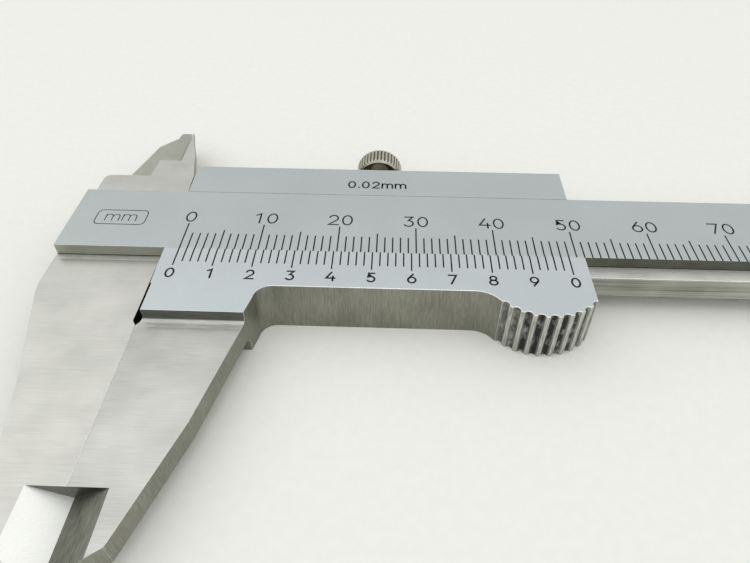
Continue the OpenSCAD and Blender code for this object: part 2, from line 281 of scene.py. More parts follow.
def grimy_grip():
    material, tree = empty_material("grip_steel_painted_groove_shade")
    place = add(tree, "ShaderNodeTexCoord")
    from_centre = add(tree, "ShaderNodeVectorMath",
                      {0: place.outputs["Object"], 1: (GRIP_X, GRIP_Y, 0)}, operation="SUBTRACT")
    flat = add(tree, "ShaderNodeVectorMath", {0: from_centre.outputs["Vector"], 1: (1, 1, 0)},
               operation="MULTIPLY")
    reach = add(tree, "ShaderNodeVectorMath", {0: flat.outputs["Vector"]}, operation="LENGTH")
    depth = add(tree, "ShaderNodeMapRange", {"Value": reach.outputs["Value"],
                                             "From Min": GRIP_R - 0.3 * MM,
                                             "From Max": GRIP_R - 0.04 * MM,
                                             "To Min": 1.0, "To Max": 0.0})
    patch_at = add(tree, "ShaderNodeMapping", {"Vector": place.outputs["Object"],
                                               "Scale": [1 / (size * MM) for size in PATCH_MM]})
    patches = add(tree, "ShaderNodeTexNoise", {"Vector": patch_at.outputs["Vector"], "Scale": 1.0,
                                               "Detail": 4.0, "Roughness": 0.65})
    spread = add(tree, "ShaderNodeMapRange", {"Value": patches.outputs["Fac"], "From Min": 0.34,
                                              "From Max": 0.5, "To Min": 0.35})
    sideways = add(tree, "ShaderNodeSeparateXYZ", {"Vector": from_centre.outputs["Vector"]})
    aside = add(tree, "ShaderNodeMath", {0: sideways.outputs["X"]}, operation="ABSOLUTE")
    lighter_to_sides = add(tree, "ShaderNodeMapRange", {"Value": aside.outputs["Value"],
                                               "From Min": 2.5 * MM, "From Max": 5 * MM,
                                               "To Min": 1.0, "To Max": 0.72})
    shade_mask = add(tree, "ShaderNodeMath", {0: depth.outputs["Result"], 1: spread.outputs["Result"]},
               operation="MULTIPLY")
    painted_groove_shade = add(tree, "ShaderNodeMath", {0: shade_mask.outputs["Value"], 1: lighter_to_sides.outputs["Result"]},
               operation="MULTIPLY")
    grain_at = add(tree, "ShaderNodeMapping",
                   {"Vector": place.outputs["Object"],
                    "Scale": [1 / (size * MM) for size in GRIP_GRAIN_MM]})
    grain = add(tree, "ShaderNodeTexNoise", {"Vector": grain_at.outputs["Vector"], "Scale": 1.0,
                                             "Detail": 3.0})
    steel = add(tree, "ShaderNodeValToRGB", {"Fac": grain.outputs["Fac"]})
    ramp_stops(steel, [(DARK_STOP, linear("9a9b92")), (LIGHT_STOP, linear("d2d2ca"))])
    # The dark matte colour mixed in here is painted shade in the grooves.
    colour = add(tree, "ShaderNodeMix", {"Factor": painted_groove_shade.outputs["Value"],
                                         "A": steel.outputs["Color"], "B": linear("1d1d1a")},
                 data_type="RGBA")
    bare = add(tree, "ShaderNodeMath", {0: 1.0, 1: painted_groove_shade.outputs["Value"]}, operation="SUBTRACT")
    rough = add(tree, "ShaderNodeMapRange", {"Value": painted_groove_shade.outputs["Value"], "To Min": 0.34,
                                             "To Max": 0.75})
    bump = add(tree, "ShaderNodeBump", {"Height": grain.outputs["Fac"], "Strength": 0.3,
                                        "Distance": 0.03 * MM})
    shader = add(tree, "ShaderNodeBsdfPrincipled", {"Base Color": colour.outputs["Result"],
                                                    "Metallic": bare.outputs["Value"],
                                                    "Roughness": rough.outputs["Result"],
                                                    "Normal": bump.outputs["Normal"]})
    add(tree, "ShaderNodeOutputMaterial", {"Surface": shader.outputs["BSDF"]})
    return material


grip_steel = grimy_grip()

# %% [markdown]
# The lines and numbers are etched and filled with a very dark, slightly green lacquer. Lacquer in
# a shallow groove dries unevenly, so its tone and its gloss wander a little.

# %% The lacquer in the lines
def line_lacquer():
    material, tree = empty_material("dark_scale_lacquer")
    place = add(tree, "ShaderNodeTexCoord")
    wander = add(tree, "ShaderNodeTexNoise", {"Vector": place.outputs["Object"],
                                              "Scale": 1 / (0.4 * MM), "Detail": 3.0})
    colour = add(tree, "ShaderNodeValToRGB", {"Fac": wander.outputs["Fac"]})
    ramp_stops(colour, [(0.3, linear("0d1210")), (0.75, linear("262e2b"))])
    rough = add(tree, "ShaderNodeMapRange", {"Value": wander.outputs["Fac"], "To Min": 0.45,
                                             "To Max": 0.75})
    shader = add(tree, "ShaderNodeBsdfPrincipled", {"Base Color": colour.outputs["Color"],
                                                    "Roughness": rough.outputs["Result"],
                                                    "Specular IOR Level": 0.2})
    add(tree, "ShaderNodeOutputMaterial", {"Surface": shader.outputs["BSDF"]})
    return material


lacquer = line_lacquer()
print("materials with grip and lacquer:", len(bpy.data.materials))

# %% [markdown]
# ## Beam and slide
#
# The CAD solids have the right shape but knife-sharp edges, and each has one finish. On the real
# parts most edges are broken by a stone, which draws a thin bright line round each face. So each
# solid is copied, its loose triangles are welded and dissolved into whole faces, each face gets
# the finish of the tool that made it or a painted light or shade, and a Bevel modifier breaks the
# edges. One flat face can have two finishes, such as bright steel with a line of painted shade in
# its corner. A cut across the face parts them, which keeps the shape as it was.

# %% The finishes by name
FINISHES = {"scale": satin_chrome, "ground": ground_steel, "milled": milled_steel,
            "rubbed": dark_wall_and_painted_shade, "dull": stoned_blade, "long": ground_wall, "grip": grip_steel,
            "scuffed": scuffed_jaw, "shoulder": rough_shoulder_painted_light, "face": handled_chrome,
            "corner": corner_painted_shade, "foot": scratched_foot_painted_light, "step": step_wall,
            "tip painted light": tip_painted_light, "tip painted shade": tip_painted_shade, "edge": stoned_edge}
print("finishes on beam and slide:", ", ".join(FINISHES))

# %% Places that part one finish from another
TIPS_Y = -31.5 * MM  # past this the jaws are hollowed to thin tips
JAW_Y = -10 * MM  # past this the slide is its jaw, under the step
FOOT_Y = -12.1 * MM  # the scratched strip under the step, painted bright, ends here
LEDGE_FOOT_Y = -0.9 * MM  # the strip under the left ledge, painted bright, ends here
BLADE_Y = beam_hi.y - 20 * MM  # past this a slope of the slide belongs to its inside blade
SHOULDER_X = 20 * MM  # past this the beam's front beside the rib is a shoulder
STEP_END_X = 12 * MM  # the step over the moving jaw is left of this
GRIP_HALF_W = 5.3 * MM
GRIP_TOP_Y = -6.3 * MM
CORNER_H = 0.14 * MM  # how high the painted shade stands in the ledge's corner
RELIEF_X = -2.79 * MM  # the beam's wall in the clearance beside the slide's left rim
FACING = 0.9  # a face looks along an axis when its normal's share of it is over this
SLOPING = 0.3  # a slope looks up or down by more than this
print("inside blade past Y", round(BLADE_Y / MM, 2), "mm")


# %% Which tool made a face, or which light or shade is painted on it
def face_finish(centre, normal, node):
    """The finish of a face, from where it is and which way it looks."""
    looks_up = normal.z > FACING
    looks_at_jaws = normal.y < -FACING
    on_beam = node == "beam"
    in_tip_hollow = centre.y < TIPS_Y and centre.z < FRONT_Z
    # The end walls at the start of the tip hollows are painted dark: painted shade.
    if in_tip_hollow and looks_at_jaws and centre.y > TIPS_Y - 1 * MM:
        return "rubbed"
    # The tip slope facing left is painted dark and the one facing right bright: painted shade and
    # painted light.
    if in_tip_hollow and normal.z > SLOPING:
        return "tip painted shade" if normal.x < 0 else "tip painted light"
    if looks_up and centre.z > FACE_Z - 0.2 * MM:
        return "scale" if on_beam or centre.y >= 0 else "face"
    # Under the step the flatter faces get the bright foot finish: painted light beside the wall.
    if not on_beam and centre.y < JAW_Y and centre.z > FRONT_Z and normal.y < -0.15:
        return "step" if normal.z < 0.6 else "foot"
    if not on_beam and looks_up and FOOT_Y < centre.y < JAW_Y:
        return "foot"
    if not on_beam and centre.y > BLADE_Y and normal.z > SLOPING:
        return "dull"
    if not on_beam and looks_up and centre.y < JAW_Y:
        return "scuffed"
    if on_beam and looks_up and centre.x > SHOULDER_X:
        return "shoulder"
    # Beside the left ledge's wall the floor strip is painted bright: painted light where the wall's
    # shade falls.
    if on_beam and looks_up and centre.x < 0 and LEDGE_FOOT_Y < centre.y < 0:
        return "foot"
    # The beam's wall in the gap beside the slide's rim is painted nearly black: painted shade.
    if on_beam and normal.x > FACING and abs(centre.x - RELIEF_X) < 0.1 * MM:
        return "corner"
    if abs(normal.z) > SLOPING:
        return "ground"
    in_ledge = looks_at_jaws and centre.z > FRONT_Z
    # The thin strip at the foot of the ledge's wall is painted nearly black: painted shade in the
    # crease.
    if in_ledge and on_beam and centre.z < FRONT_Z + CORNER_H:
        return "corner"
    if in_ledge and on_beam and centre.x < 0:
        return "dull"
    if in_ledge and (on_beam or (centre.x < STEP_END_X and centre.y < JAW_Y)):
        return "rubbed"
    if on_beam and abs(normal.y) > FACING and centre.x > 0:
        return "long"
    reach = math.hypot(centre.x - GRIP_X, centre.y - GRIP_Y)
    beside_grip = centre.x > GRIP_X - GRIP_HALF_W and centre.y < GRIP_TOP_Y
    if beside_grip and reach < GRIP_R + 0.05 * MM:
        return "grip"
    return "milled"


# %% [markdown]
# A bevel of one width everywhere would look machined. The jaws meet in a crisp line, the long
# lower edges are well rounded by wear, and inside the channel the edges stay as cut. So each edge
# has a weight, which is its share of the widest bevel. An edge that stays sharp still gets a
# hair's width, because that keeps the shading of the flat faces beside it flat.

# %% Shares of the widest bevel
HAIR = 0.03
TIP_EDGE = 0.1
RIB_EDGE = 0.15
PLAIN_EDGE = 0.3
RIM_EDGE = 0.5
JAW_EDGE = 0.6
WORN_EDGE = 1.0
ROUND_STEP = math.radians(32)  # a smaller angle is a step of a curve and not an edge
SLIDE_LEFT_X = -1.8 * MM
LEFT_RIM_X = -1.4 * MM
CHANNEL_Y = (-2.2 * MM, 15.0 * MM)
JAWS_MEET_X = -2.35 * MM
LEVEL = 0.01 * MM  # two levels nearer than this are the same
print("bevels as shares:", HAIR, "to", WORN_EDGE)


# %% How far an edge is broken
def edge_width(edge, node):
    if edge.calc_face_angle(0) < ROUND_STEP:
        return 0.0
    middle = (edge.verts[0].co + edge.verts[1].co) / 2
    if not edge.is_convex:
        return HAIR
    on_slide = node == "slide"
    along = SLIDE_LEFT_X < middle.x < slide_hi.x - 0.1 * MM
    in_channel = CHANNEL_Y[0] < middle.y < CHANNEL_Y[1] and middle.z < FRONT_Z + 0.1 * MM
    if on_slide and along and in_channel:
        return HAIR
    at_face = middle.z > FACE_Z - LEVEL
    if at_face and on_slide and middle.x < LEFT_RIM_X and middle.y < 0:
        return HAIR if middle.y > -2 * MM else RIM_EDGE
    if at_face and along and -0.5 * MM < middle.y < RIB_W + 0.5 * MM:
        return HAIR if on_slide else RIB_EDGE
    if middle.y < TIPS_Y:
        return TIP_EDGE
    at_jaw_front = middle.z > FRONT_Z - LEVEL and middle.y < -12 * MM
    if at_jaw_front and abs(middle.x - JAWS_MEET_X) < 0.1 * MM:
        return JAW_EDGE
    if not on_slide and middle.x > SHOULDER_X and middle.y < -1.9 * MM:
        return WORN_EDGE
    if at_face and middle.y < -6 * MM and middle.x > STEP_END_X:
        return WORN_EDGE
    return PLAIN_EDGE


# %% Cuts that part two finishes
# Each cut is a plane, by a point and its direction: the rib's long lines, a line near the zero, the
# painted shade in the corner and the brightened strip on the beam, and the strip under the step on
# the slide.
ALONG_X = (1, 0, 0)
ALONG_Y = (0, 1, 0)
ALONG_Z = (0, 0, 1)
CUTS = {"beam": [((0, 0, 0), ALONG_Y), ((0, RIB_W, 0), ALONG_Y), ((0.5 * MM, 0, 0), ALONG_X),
                 ((0, 0, FRONT_Z + CORNER_H), ALONG_Z), ((0, LEDGE_FOOT_Y, 0), ALONG_Y)],
        "slide": [((0, FOOT_Y, 0), ALONG_Y)]}
print("cuts:", {node: len(planes) for node, planes in CUTS.items()})

# %% [markdown]
# Beside the slide's left rim the beam steps back, so a thin dark gap shows past the rim. The CAD
# step is a little narrow to show it, so the copy's wall is set back by about 0.3 mm, and the wall is
# painted nearly black: painted shade.

# %% Weld, sort and bevel the two big parts
SAME_PLACE = 0.0005 * MM  # points nearer than this are one point
CAD_RELIEF_X = -2.5 * MM
RELIEF_Y = (-9.5 * MM, -1.9 * MM)


def worked_copy(node, name, edge_mm):
    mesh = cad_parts[node].data.copy()
    mesh.materials.clear()
    for finish in FINISHES.values():
        mesh.materials.append(finish)
    names = list(FINISHES)
    work = bmesh.new()
    work.from_mesh(mesh)
    bmesh.ops.remove_doubles(work, verts=work.verts, dist=SAME_PLACE)
    bmesh.ops.dissolve_limit(work, angle_limit=math.radians(0.5), verts=work.verts,
                             edges=work.edges)
    for vert in work.verts:
        at_wall = abs(vert.co.x - CAD_RELIEF_X) < 0.02 * MM
        if node == "beam" and at_wall and RELIEF_Y[0] < vert.co.y < RELIEF_Y[1]:
            vert.co.x = RELIEF_X
    for at, across in CUTS[node]:
        geometry = work.verts[:] + work.edges[:] + work.faces[:]
        bmesh.ops.bisect_plane(work, geom=geometry, plane_co=at, plane_no=across,
                               dist=SAME_PLACE)
    widths = work.edges.layers.float.new("bevel_weight_edge")
    for edge in work.edges:
        edge[widths] = edge_width(edge, node)
    for face in work.faces:
        place = face.calc_center_median()
        face.material_index = names.index(face_finish(place, face.normal, node))
        face.smooth = True
    work.to_mesh(mesh)
    work.free()
    piece = new_piece(name, mesh)
    bevel = piece.modifiers.new("broken edges", "BEVEL")
    bevel.width = edge_mm * MM
    bevel.segments = 2
    bevel.limit_method = "WEIGHT"
    bevel.use_clamp_overlap = False
    bevel.material = names.index("edge")
    smooth = piece.modifiers.new("even shading", "WEIGHTED_NORMAL")
    smooth.keep_sharp = True
    smooth.weight = 100
    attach(piece, node)
    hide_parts(node)
    print(name, len(mesh.polygons), "faces")
    return piece


WIDEST_BEVEL_MM = 0.08
beam = worked_copy("beam", "ground_beam", WIDEST_BEVEL_MM)
slide = worked_copy("slide", "satin_slide", WIDEST_BEVEL_MM)

# %% [markdown]
# ## The scale lines
#
# Two hundred and two lines follow two simple rules, so Geometry Nodes draw them. One tree makes a
# row of points, one for each line, and puts a thin block on each, stretched to the long, middle or
# short length that its place in the row asks for. The main scale has a line each millimetre. The
# vernier squeezes fifty spaces into 49 mm, and reads to 0.02 mm. Its lines hang down from where
# the scales meet, so they have negative lengths.

# %% A new tree with named inputs
def tree_with_inputs(name, sizes, finish_input):
    """Starts a geometry tree with an input for each size and one for a material. Returns the tree
    and its inputs' sockets."""
    tree = bpy.data.node_groups.new(name, "GeometryNodeTree")
    for size_name, value in sizes.items():
        kind = "NodeSocketInt" if isinstance(value, int) else "NodeSocketFloat"
        socket = tree.interface.new_socket(size_name, in_out="INPUT", socket_type=kind)
        socket.default_value = value
    tree.interface.new_socket(finish_input, in_out="INPUT", socket_type="NodeSocketMaterial")
    tree.interface.new_socket("Geometry", in_out="OUTPUT", socket_type="NodeSocketGeometry")
    print(name, "takes", ", ".join(sizes))
    return tree, add(tree, "NodeGroupInput").outputs


# %% A tree for rows of lines
UNDER_ONE = 0.5  # a remainder less than this is nought
LINE_SIZES = {"Lines": 151, "Spacing": 0.001, "Long every": 10, "Middle every": 5, "Long": 0.005,
              "Middle": 0.0037, "Short": 0.003, "Width": 0.00013, "Height": 0.00002, "Level": 0.007}


def line_row_tree():
    tree, given = tree_with_inputs("scale_lines", LINE_SIZES, "Lacquer")
    step = add(tree, "ShaderNodeCombineXYZ", {"X": given["Spacing"]})
    start = add(tree, "ShaderNodeCombineXYZ", {"Z": given["Level"]})
    row = add(tree, "GeometryNodeMeshLine", {"Count": given["Lines"],
                                             "Start Location": start.outputs["Vector"],
                                             "Offset": step.outputs["Vector"]})
    index = add(tree, "GeometryNodeInputIndex")
    past_long = add(tree, "ShaderNodeMath", {0: index.outputs["Index"], 1: given["Long every"]},
                    operation="MODULO")
    past_middle = add(tree, "ShaderNodeMath",
                      {0: index.outputs["Index"], 1: given["Middle every"]}, operation="MODULO")
    is_long = add(tree, "FunctionNodeCompare", {0: past_long.outputs["Value"], 1: UNDER_ONE},
                  operation="LESS_THAN")
    is_middle = add(tree, "FunctionNodeCompare",
                    {0: past_middle.outputs["Value"], 1: UNDER_ONE}, operation="LESS_THAN")
    lesser = add(tree, "GeometryNodeSwitch", {"Switch": is_middle.outputs["Result"],
                                              "False": given["Short"], "True": given["Middle"]},
                 input_type="FLOAT")
    length = add(tree, "GeometryNodeSwitch", {"Switch": is_long.outputs["Result"],
                                              "False": lesser.outputs["Output"],
                                              "True": given["Long"]}, input_type="FLOAT")
    stretch = add(tree, "ShaderNodeCombineXYZ", {"X": 1.0, "Y": length.outputs["Output"], "Z": 1.0})
    block_size = add(tree, "ShaderNodeCombineXYZ", {"X": given["Width"], "Y": 1.0,
                                                    "Z": given["Height"]})
    block = add(tree, "GeometryNodeMeshCube", {"Size": block_size.outputs["Vector"]})
    from_end = add(tree, "GeometryNodeTransform", {"Geometry": block.outputs["Mesh"],
                                                   "Translation": (0, 0.5, 0)})
    placed = add(tree, "GeometryNodeInstanceOnPoints", {"Points": row.outputs["Mesh"],
                                                        "Instance": from_end.outputs["Geometry"],
                                                        "Scale": stretch.outputs["Vector"]})
    real = add(tree, "GeometryNodeRealizeInstances", {"Geometry": placed.outputs["Instances"]})
    inked = add(tree, "GeometryNodeSetMaterial", {"Geometry": real.outputs["Geometry"],
                                                  "Material": given["Lacquer"]})
    add(tree, "NodeGroupOutput", {"Geometry": inked.outputs["Geometry"]})
    return tree


# %% Turn a tree into a plain mesh
def grown(tree, name, **given):
    """Runs a geometry tree with the named inputs and returns a new object with the plain mesh."""
    holder = bpy.data.objects.new(name + "_holder", bpy.data.meshes.new(name + "_holder"))
    bpy.context.scene.collection.objects.link(holder)
    modifier = holder.modifiers.new("grow", "NODES")
    modifier.node_group = tree
    sockets = {item.name: item.identifier for item in tree.interface.items_tree
               if item.in_out == "INPUT"}
    for key, value in given.items():
        modifier[sockets[key.replace("_", " ")]] = value
    depsgraph = bpy.context.evaluated_depsgraph_get()
    depsgraph.update()
    mesh = bpy.data.meshes.new_from_object(holder.evaluated_get(depsgraph))
    holder.modifiers.clear()
    bpy.data.objects.remove(holder)
    mesh.name = name
    piece = new_piece(name, mesh)
    print(name, len(mesh.polygons), "faces")
    return piece


# %% Main scale and vernier
LINE_W = 0.185 * MM
INK_H = 0.02 * MM  # how thick the lacquer is
PROUD = 0.004 * MM  # how much of it stands over the face
ink_level = FACE_Z + PROUD - INK_H / 2
line_tree = line_row_tree()
main_lines = grown(line_tree, "main_scale_lines", Lines=151, Spacing=1.0 * MM, Long_every=10,
                   Middle_every=5, Long=4.95 * MM, Middle=3.68 * MM, Short=2.96 * MM,
                   Width=LINE_W, Height=INK_H, Level=ink_level, Lacquer=lacquer)
vernier_lines = grown(line_tree, "vernier_lines", Lines=51, Spacing=0.98 * MM, Long_every=5,
                      Middle_every=5, Long=-3.27 * MM, Middle=-3.27 * MM, Short=-2.55 * MM,
                      Width=LINE_W, Height=INK_H, Level=ink_level, Lacquer=lacquer)
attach(main_lines, "beam")
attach(vernier_lines, "slide")

# %% [markdown]
# A negative length turns the vernier's blocks inside out, so their faces are turned back out.

# %% Turn faces outwards
def face_outwards(piece):
    work = bmesh.new()
    work.from_mesh(piece.data)
    bmesh.ops.recalc_face_normals(work, faces=work.faces)
    work.to_mesh(piece.data)
    work.free()


face_outwards(vernier_lines)
print("vernier lines turned:", len(vernier_lines.data.polygons), "faces")

# %% [markdown]
# ## The numbers
#
# The numbers are drawn by an engraver's single-stroke alphabet: each stroke is the path of one
# round cutter. A font would give strokes of uneven width, so each figure is a few paths in a box
# one unit high, and every path becomes a flat ribbon with round ends.

# %% Single-stroke figures
def arc(cx, cy, rx, ry, start, end, steps=14):
    turn = [math.radians(start + (end - start) * k / steps) for k in range(steps + 1)]
    return [(cx + rx * math.cos(a), cy + ry * math.sin(a)) for a in turn]


def ring(cx, cy, rx, ry, steps=28):
    return arc(cx, cy, rx, ry, 90, 450, steps)


FIGURES = {
    "0": [ring(0, 0.5, 0.315, 0.5)],
    "1": [[(-0.21, 0.83), (0.09, 1.0), (0.09, 0.0)]],
    "2": [arc(0, 0.69, 0.29, 0.31, 165, -35) + [(-0.32, 0.0), (0.33, 0.0)]],
    "3": [[(-0.27, 1.0), (0.27, 1.0), (-0.03, 0.61)] + arc(-0.02, 0.305, 0.31, 0.305, 90, -150)],
    "4": [[(0.06, 1.0), (-0.34, 0.31), (0.36, 0.31)], [(0.2, 0.52), (0.2, 0.0)]],
    "5": [[(0.26, 1.0), (-0.19, 1.0), (-0.24, 0.55)] + arc(-0.01, 0.31, 0.3, 0.31, 125, -150)],
    "6": [ring(0, 0.32, 0.31, 0.32), [(-0.26, 0.5), (0.1, 1.0)]],
    "7": [[(-0.3, 1.0), (0.31, 1.0), (-0.1, 0.0)]],
    "8": [ring(0, 0.76, 0.25, 0.24), ring(0, 0.27, 0.31, 0.27)],
    "9": [ring(0, 0.68, 0.31, 0.32), [(0.26, 0.5), (-0.1, 0.0)]],
    ".": [[(0, 0.0), (0, 0.06)]],
    "m": [[(-0.48, 0.0), (-0.48, 0.7)],
          arc(-0.24, 0.44, 0.24, 0.25, 180, 0) + [(0.0, 0.0)],
          arc(0.24, 0.44, 0.24, 0.25, 180, 0) + [(0.48, 0.0)]],
}
print("figures:", "".join(FIGURES))


# %% Paths into ribbons
CLOSED_GAP = 0.1  # ends nearer than this share of the width meet
SHARPEST_TURN = 0.45  # keeps a mitre from growing long at a sharp turn


def round_end(tip, outward, width, steps=5):
    """Points of a half circle round a stroke's end, from its left side to its right side."""
    lead = math.atan2(outward.y, outward.x) + math.pi / 2
    turns = [lead - math.pi * k / (steps + 1) for k in range(1, steps + 1)]
    return [tip + Vector((math.cos(a), math.sin(a))) * width / 2 for a in turns]


def add_stroke(work, path, width, level):
    """Adds one flat ribbon to a bmesh. A path whose ends meet becomes a closed band."""
    points = [Vector(p) for p in path]
    closed = (points[0] - points[-1]).length < width * CLOSED_GAP
    if closed:
        points.pop()
    count = len(points)
    left, right = [], []
    for k, here in enumerate(points):
        into = here - points[k - 1] if closed or k > 0 else points[1] - here
        out = points[(k + 1) % count] - here if closed or k < count - 1 else into
        into.normalize()
        out.normalize()
        side = Vector((-into.y - out.y, into.x + out.x)).normalized()
        reach = width / 2 / max(SHARPEST_TURN, side.dot(Vector((-into.y, into.x))))
        left.append(here + side * reach)
        right.append(here - side * reach)
    if closed:
        outer = [work.verts.new((*p, level)) for p in left]
        inner = [work.verts.new((*p, level)) for p in right]
        for k in range(count):
            n = (k + 1) % count
            work.faces.new((outer[k], inner[k], inner[n], outer[n]))
    else:
        front = round_end(points[-1], points[-1] - points[-2], width)
        back = round_end(points[0], points[0] - points[1], width)
        rim = left + front + right[::-1] + back
        work.faces.new([work.verts.new((*p, level)) for p in rim])


# %% Writing with them
def lettering(name, words, stroke_mm):
    """words is a list of (text, centre x, baseline y, height, advance), all lengths in mm."""
    work = bmesh.new()
    for text, x, y, height, advance in words:
        for k, letter in enumerate(text):
            at = Vector((x + (k - (len(text) - 1) / 2) * advance, y))
            for path in FIGURES[letter]:
                placed = [(at + Vector(p) * height) * MM for p in path]
                add_stroke(work, placed, stroke_mm * MM, FACE_Z + PROUD - INK_H)
    made = bmesh.ops.extrude_face_region(work, geom=work.faces[:])
    risen = [v for v in made["geom"] if isinstance(v, bmesh.types.BMVert)]
    bmesh.ops.translate(work, verts=risen, vec=(0, 0, INK_H))
    bmesh.ops.recalc_face_normals(work, faces=work.faces)
    mesh = bpy.data.meshes.new(name)
    work.to_mesh(mesh)
    work.free()
    mesh.materials.append(lacquer)
    piece = new_piece(name, mesh)
    print(name, len(mesh.polygons), "faces")
    return piece


main_words = [(str(n), n, 5.35, 1.95, 1.83) for n in range(0, 151, 10)]
main_numbers = lettering("main_scale_numbers", main_words, 0.225)
vernier_words = [(str(k % 10), k * 4.9, -5.36, 1.48, 1.3) for k in range(11)]
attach(main_numbers, "beam")

# %% [markdown]
# The upper strip says how fine the vernier reads, which is a plain unit label. The beam's left end
# says what its own numbers count: a plain "mm" in a frame with round corners.

# %% The unit label
LABEL_Y = 13.8
LABEL_H = 1.45
label = [("0", 21.02, LABEL_Y, LABEL_H, 1), (".", 22.04, LABEL_Y + 0.05, LABEL_H, 1),
         ("0", 22.98, LABEL_Y, LABEL_H, 1), ("2", 24.43, LABEL_Y, LABEL_H, 1),
         ("m", 26.05, LABEL_Y, 1.5, 1), ("m", 27.93, LABEL_Y, 1.5, 1)]
vernier_numbers = lettering("vernier_numbers", vernier_words + label, 0.25)
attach(vernier_numbers, "slide")

# %% The unit plate
PLATE_X = -9.4
PLATE_Y = 5.9
PLATE_W = 3.4  # half the plate's width
PLATE_H = 1.5  # half its height
CORNER = 0.7


def round_frame():
    """A closed path round the plate, in units of one millimetre."""
    path = []
    for k, (sx, sy) in enumerate([(1, 1), (-1, 1), (-1, -1), (1, -1)]):
        centre = (sx * (PLATE_W - CORNER), sy * (PLATE_H - CORNER))
        path += arc(*centre, CORNER, CORNER, 90 * k, 90 * k + 90, 5)
    return path + path[:1]


FIGURES["frame"] = [round_frame()]
plate = lettering("unit_plate", [(["frame"], PLATE_X, PLATE_Y, 1.0, 1),
                                 ("mm", PLATE_X, PLATE_Y - 0.75, 1.9, 2.3)], 0.13)
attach(plate, "beam")

# %% [markdown]
# ## The lock screw
#
# The lock screw is turned, its head is knurled with straight ridges, and its shank is threaded.
# A straight knurl and a thread are the same rule: ridges that wind round a cylinder, many and
# straight for a knurl, one and slanting for a thread. So one Geometry Nodes tree makes both. It
# takes a cylinder and moves each point in or out by its place round and along it, and holds the
# ends inside a chamfer, which is why the ridges run out there in small crescents.

# %% A tree for knurls and threads
BAR_SIZES = {"Radius": 0.003, "Length": 0.003, "Ridge depth": 0.0002, "Ridges round": 36,
             "Turns per metre": 0.0, "Chamfer": 0.0003, "Sides": 288, "Rings": 40}


def ridged_bar_tree():
    tree, given = tree_with_inputs("ridged_bar", BAR_SIZES, "Finish")

    def maths(operation, *values):
        inputs = dict(enumerate(values))
        return add(tree, "ShaderNodeMath", inputs, operation=operation).outputs["Value"]

    bar = add(tree, "GeometryNodeMeshCylinder",
              {"Vertices": given["Sides"], "Side Segments": given["Rings"],
               "Radius": given["Radius"], "Depth": given["Length"]})
    position = add(tree, "GeometryNodeInputPosition")
    at = add(tree, "ShaderNodeSeparateXYZ", {"Vector": position.outputs["Position"]}).outputs
    part_turn = maths("DIVIDE", maths("ARCTAN2", at["Y"], at["X"]), 2 * math.pi)
    round_it = maths("MULTIPLY", part_turn, given["Ridges round"])
    along_it = maths("MULTIPLY", at["Z"], given["Turns per metre"])
    half_waves = maths("MULTIPLY", maths("ADD", round_it, along_it), math.pi)
    wave = maths("ABSOLUTE", maths("SINE", half_waves))
    valley = maths("MULTIPLY", maths("SUBTRACT", 1.0, wave), given["Ridge depth"])
    ridged = maths("SUBTRACT", given["Radius"], valley)
    half_length = maths("MULTIPLY", given["Length"], 0.5)
    from_end = maths("SUBTRACT", half_length, maths("ABSOLUTE", at["Z"]))
    cone = maths("SUBTRACT", given["Radius"],
                 maths("MAXIMUM", maths("SUBTRACT", given["Chamfer"], from_end), 0.0))
    new_radius = maths("MINIMUM", ridged, cone)
    scale = maths("DIVIDE", new_radius, given["Radius"])
    spread = add(tree, "ShaderNodeCombineXYZ", {"X": scale, "Y": scale, "Z": 1.0})
    moved = add(tree, "ShaderNodeVectorMath", {0: position.outputs["Position"],
                                               1: spread.outputs["Vector"]}, operation="MULTIPLY")
    shaped = add(tree, "GeometryNodeSetPosition", {"Geometry": bar.outputs["Mesh"],
                                                   "Position": moved.outputs["Vector"]})
    real = add(tree, "GeometryNodeRealizeInstances", {"Geometry": shaped.outputs["Geometry"]})
    dressed = add(tree, "GeometryNodeSetMaterial", {"Geometry": real.outputs["Geometry"],
                                                    "Material": given["Finish"]})
    add(tree, "NodeGroupOutput", {"Geometry": dressed.outputs["Geometry"]})
    return tree


# %% Sizes of the lock screw
SCREW_X = (screw_lo.x + screw_hi.x) / 2
SCREW_Z = (screw_lo.z + screw_hi.z) / 2
HEAD_R = (screw_hi.x - screw_lo.x) / 2
HEAD_L = 3.35 * MM
HEAD_Y = screw_hi.y - HEAD_L
RIDGES = 38
RIDGE_H = 0.22 * MM
CHAMFER = 0.4 * MM
END_RISE = 0.15 * MM  # how far the plain outer end stands past the knurl
KNURL_L = HEAD_L - END_RISE
NECK_L = 0.45 * MM
THREAD_R = 1.5 * MM
THREAD_H = 0.27 * MM
THREAD_PITCH = 0.5 * MM
THREAD_TOP = HEAD_Y - NECK_L
END_FACE_AREA = 1e-6  # in square metres; only the flat ends of a bar are larger
print("knurled head:", round(2 * HEAD_R / MM, 2), "by", round(HEAD_L / MM, 2), "mm")


# %% Lay a bar on the screw's axis
def lay_along_beam_width(piece, middle_y):
    """Lays a bar that stands on Z down along Y, on the lock screw's axis."""
    piece.data.transform(Matrix.Translation((SCREW_X, middle_y, SCREW_Z))
                         @ Matrix.Rotation(math.radians(-90), 4, "X"))
    face_outwards(piece)
    for face in piece.data.polygons:
        face.use_smooth = face.area < END_FACE_AREA
